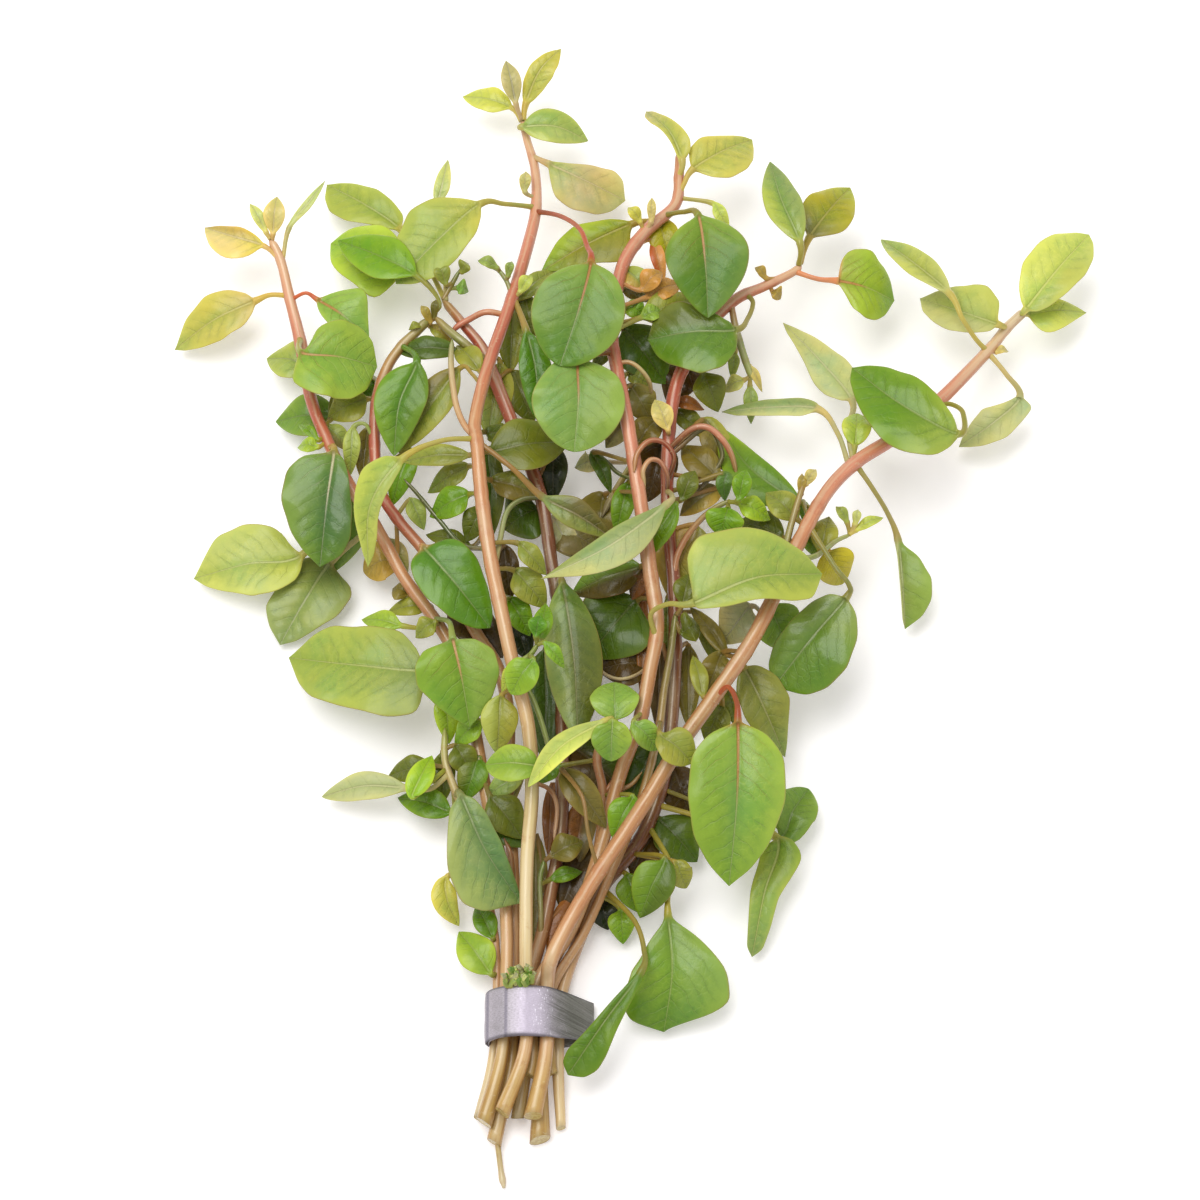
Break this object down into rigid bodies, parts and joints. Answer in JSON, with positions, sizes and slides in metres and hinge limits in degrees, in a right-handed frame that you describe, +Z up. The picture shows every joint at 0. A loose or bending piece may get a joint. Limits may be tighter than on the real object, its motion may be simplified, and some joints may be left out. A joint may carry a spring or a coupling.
{
  "type": "bunch of aquarium ludwigia",
  "caption": "Bunch of cut, leafy aquarium plant stems lying down, held together near the cut ends by a bent strip of lead.",
  "frame": {"origin": "middle of the bounding box, at the surface that the bunch rests on", "axes": "+Z up from the surface, +Y along the bunch from the cut ends to the leafy tips, +X across the fan of stems to the right seen from above"},
  "size_m": [0.1874, 0.2376, 0.0331],
  "materials": {
    "lead": "dull grey lead, brushed and lightly scratched",
    "stem_skin": "smooth salmon-pink to red living stem, satin",
    "low_stem_skin": "smooth tan living stem, satin",
    "leaf_bluish": "bluish green leaf, satin and slightly wet",
    "leaf_bright": "bright green leaf, satin and slightly wet",
    "leaf_bronze": "bronze olive leaf, satin and slightly wet",
    "leaf_deep": "deep green leaf, satin and slightly wet",
    "leaf_green": "mid green leaf, satin and slightly wet",
    "leaf_grey": "grey green leaf, satin and slightly wet",
    "leaf_lime": "lime green leaf, satin and slightly wet",
    "leaf_olive": "olive leaf, satin and slightly wet",
    "leaf_pale": "pale underside green leaf, satin and slightly wet",
    "leaf_pinkish": "pinkish tan leaf, satin and slightly wet",
    "leaf_yellow": "yellow olive leaf, satin and slightly wet"
  },
  "bodies": {
    "root": {"lead_strip": "lead", "stem_left_outer": "stem_skin", "stem_left_inner": "stem_skin", "stem_centre_left": "stem_skin", "stem_hidden": "stem_skin", "stem_centre": "stem_skin", "stem_right_inner": "stem_skin", "stem_right_outer": "stem_skin", "stem_short_right": "low_stem_skin", "stem_short_middle": "low_stem_skin", "stem_short_left": "low_stem_skin", "leaf_left_folded": "leaf_lime", "leaf_centre_high": "leaf_green", "leaf_centre_kidney": "leaf_green", "leaf_top_big": "leaf_green", "leaf_centre_lance": "leaf_pale", "leaf_right_lime": "leaf_lime", "leaf_right_front": "leaf_bright", "leaf_right_two_tone": "leaf_deep", "leaf_left_light": "leaf_green", "leaf_left_inner_dark": "leaf_deep", "leaf_left_big_dark": "leaf_bluish", "leaf_left_round": "leaf_green", "leaf_centre_grey": "leaf_grey", "leaf_left_lime_wide": "leaf_lime", "leaf_upper_pale_big": "leaf_yellow", "leaf_middle_slim": "leaf_grey", "leaf_left_bright": "leaf_bright", "leaf_upper_slim_green": "leaf_bright", "leaf_top_dark_big": "leaf_deep", "leaf_right_big": "leaf_bright", "leaf_twisted_light": "leaf_pale", "leaf_middle_round_low": "leaf_green", "leaf_middle_lime": "leaf_lime", "leaf_low_left_big": "leaf_grey", "leaf_low_diamond": "leaf_bright", "leaf_low_paddle": "leaf_green", "leaf_right_hanging": "leaf_green", "leaf_right_lance": "leaf_pale", "leaf_right_twisted": "leaf_pale", "leaf_tip_lime": "leaf_lime", "leaf_tip_pale_up": "leaf_pale", "leaf_tip_folded": "leaf_green", "leaf_tip_pale_low": "leaf_pale", "leaf_top_right_green": "leaf_deep", "leaf_top_right_bronze": "leaf_bronze", "leaf_top_right_round": "leaf_bright", "leaf_top_lime": "leaf_lime", "leaf_top_curled": "leaf_yellow", "leaf_behind_yellow": "leaf_olive", "leaf_crown_pink": "leaf_pinkish", "leaf_crown_low": "leaf_bright", "leaf_crown_right": "leaf_yellow", "leaf_far_left": "leaf_yellow", "leaf_left_lime": "leaf_lime", "leaf_upper_lime": "leaf_lime", "leaf_left_grey_olive": "leaf_grey", "leaf_right_olive": "leaf_olive", "leaf_low_drooping": "leaf_lime", "leaf_low_pale_lance": "leaf_pale"}
  },
  "joints": []
}
